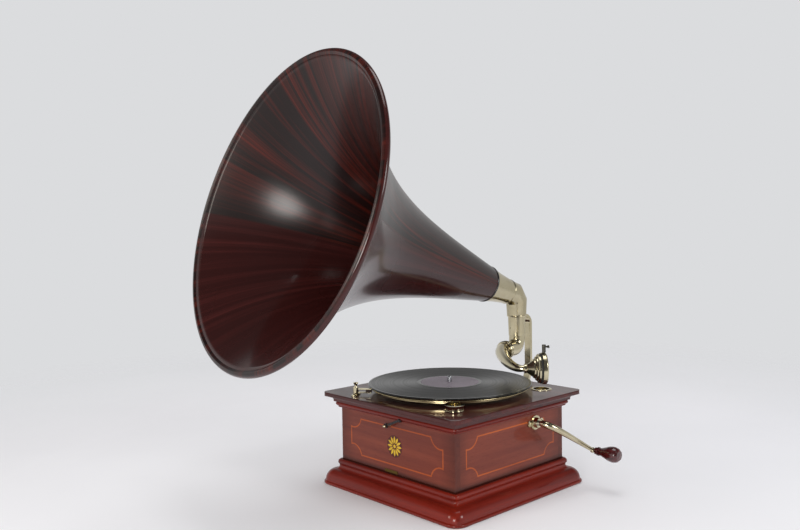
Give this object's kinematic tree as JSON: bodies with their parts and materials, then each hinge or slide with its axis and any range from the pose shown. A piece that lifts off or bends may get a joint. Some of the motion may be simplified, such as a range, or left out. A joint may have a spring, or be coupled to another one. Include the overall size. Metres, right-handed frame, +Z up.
{
  "type": "gramophone",
  "caption": "Table gramophone: square mahogany case, spring motor with crank, turntable, tonearm with sound box, and a flared wooden horn on a rear bracket.",
  "frame": {"origin": "middle of the cabinet's underside, on the table", "axes": "+Z up; the front panel with the rosette faces -Y; the crank is on +X; the horn opens towards -Y; the bracket is on +Y"},
  "size_m": [0.4756, 0.5525, 0.6346],
  "materials": {
    "mahogany": "polished mahogany",
    "dark_mahogany": "polished red mahogany",
    "satinwood": "polished satinwood inlay",
    "nickel": "aged nickel plate, polished",
    "steel": "machined",
    "dark_steel": "dark oxide",
    "brass": "plain brass",
    "leather": "brown leather",
    "felt": "dark red felt",
    "shellac": "black shellac with fine grooves",
    "paper": "plain paper label",
    "handle_wood": "dark turned wood, polished",
    "rubber": "black rubber",
    "mica": "thin mica sheet, stood in for by a stiff plastic",
    "black_wood": "ebonised turned wood",
    "horn_wood": "dark polished laminated wood"
  },
  "bodies": {
    "cabinet": {"plinth_moulding": "dark_mahogany", "bottom_board": "mahogany", "front_panel": "mahogany", "rear_panel": "mahogany", "left_panel": "mahogany", "right_panel": "mahogany", "glue_blocks": "mahogany", "bead_moulding": "dark_mahogany", "motor_board": "dark_mahogany", "panel_stringing": "satinwood", "front_rosette": "satinwood", "horn_bracket": "nickel", "case_screws": "nickel", "crank_escutcheon": "nickel", "lid_hook_fittings": "nickel", "raised_needle_cup": "nickel", "sunk_needle_cup": "nickel", "brake_base": "nickel", "motor_plates": "brass", "motor_pillars": "steel", "motor_bolts": "nickel", "shaft_bearings": "brass"},
    "turntable": {"platter": "nickel", "platter_felt": "felt", "record": "shellac", "record_label": "paper", "spindle_shaft": "steel", "spindle_gears": "steel"},
    "intermediate_shaft": {"intermediate_gears": "brass", "intermediate_arbor": "steel"},
    "mainspring_barrel": {"spring_barrel": "brass", "mainspring": "dark_steel"},
    "barrel_arbor": {"spring_arbor": "steel"},
    "governor": {"governor_spindle": "steel", "governor_weights": "steel", "governor_disc": "steel"},
    "crank": {"winding_shaft": "steel", "winding_pinion": "steel", "crank_arm": "nickel", "crank_pin": "steel"},
    "crank_grip": {"crank_handle": "handle_wood"},
    "brake": {"brake_lever": "nickel", "brake_pad": "leather", "brake_knob": "nickel"},
    "hook": {"lid_hook": "dark_steel"},
    "tonearm": {"tonearm_stub": "nickel", "tonearm_collar": "nickel"},
    "sound_box_arm": {"taper_arm": "nickel"},
    "sound_box": {"sound_box_flange": "rubber", "sound_box_back": "nickel", "sound_box_gaskets": "rubber", "diaphragm": "mica", "sound_box_bezel": "nickel", "needle_bar": "nickel"},
    "needle_clamp": {"needle_screw": "nickel"},
    "horn": {"horn_elbow": "nickel", "horn_sleeve": "nickel", "horn_end_ring": "black_wood", "horn_bell": "horn_wood", "horn_rim": "horn_wood"}
  },
  "joints": [
    {"name": "turntable_spin", "type": "hinge", "parent": "cabinet", "child": "turntable", "pos_m": [0, -0.003, 0.15], "axis": [0, 0, 1], "continuous": true},
    {"name": "intermediate_spin", "type": "hinge", "parent": "cabinet", "child": "intermediate_shaft", "pos_m": [0.02698, 0.01011, 0.09], "axis": [0, 0, 1], "continuous": true},
    {"name": "barrel_spin", "type": "hinge", "parent": "cabinet", "child": "mainspring_barrel", "pos_m": [0.03, 0.052, 0.075], "axis": [0, 0, 1], "continuous": true},
    {"name": "governor_spin", "type": "hinge", "parent": "cabinet", "child": "governor", "pos_m": [0, -0.01915, 0.088], "axis": [1, 0, 0], "continuous": true},
    {"name": "crank_turn", "type": "hinge", "parent": "cabinet", "child": "crank", "pos_m": [0.12, 0.052, 0.1035], "axis": [1, 0, 0], "continuous": true},
    {"name": "arbor_wind", "type": "hinge", "parent": "cabinet", "child": "barrel_arbor", "pos_m": [0.03, 0.052, 0.095], "axis": [0, 0, 1], "continuous": true},
    {"name": "grip_spin", "type": "hinge", "parent": "crank", "child": "crank_grip", "pos_m": [0.1895, 0.12748, 0.05634], "axis": [1, 0, 0], "continuous": true},
    {"name": "brake_swing", "type": "hinge", "parent": "cabinet", "child": "brake", "pos_m": [-0.082, -0.122, 0.149], "axis": [0, 0, 1], "range_deg": [-20, 0]},
    {"name": "hook_swing", "type": "hinge", "parent": "cabinet", "child": "hook", "pos_m": [-0.009, -0.1273, 0.1085], "axis": [0, 1, 0], "range_deg": [0, 95]},
    {"name": "tonearm_swing", "type": "hinge", "parent": "cabinet", "child": "tonearm", "pos_m": [0, 0.16, 0.22], "axis": [0, 0, 1], "range_deg": [-34, 25]},
    {"name": "arm_lift", "type": "hinge", "parent": "tonearm", "child": "sound_box_arm", "pos_m": [0.00695, 0.12061, 0.191], "axis": [0.1736, -0.9848, 0], "range_deg": [0, 35]},
    {"name": "sound_box_turn", "type": "hinge", "parent": "sound_box_arm", "child": "sound_box", "pos_m": [0.10736, 0.05087, 0.182], "axis": [0.682, 0.7314, 0], "range_deg": [0, 180]},
    {"name": "needle_screw_turn", "type": "hinge", "parent": "sound_box", "child": "needle_clamp", "pos_m": [0.12441, 0.06916, 0.2142], "axis": [0.682, 0.7314, 0], "range_deg": [-180, 0]},
    {"name": "horn_turn", "type": "hinge", "parent": "cabinet", "child": "horn", "pos_m": [0, 0.16, 0.24], "axis": [0, 0, 1], "continuous": true}
  ],
  "couplings": [
    {"joint": "intermediate_spin", "follows": "turntable_spin", "ratio": -0.25},
    {"joint": "barrel_spin", "follows": "turntable_spin", "ratio": 0.041667},
    {"joint": "governor_spin", "follows": "turntable_spin", "ratio": -30},
    {"joint": "arbor_wind", "follows": "crank_turn", "ratio": 0.33333}
  ]
}
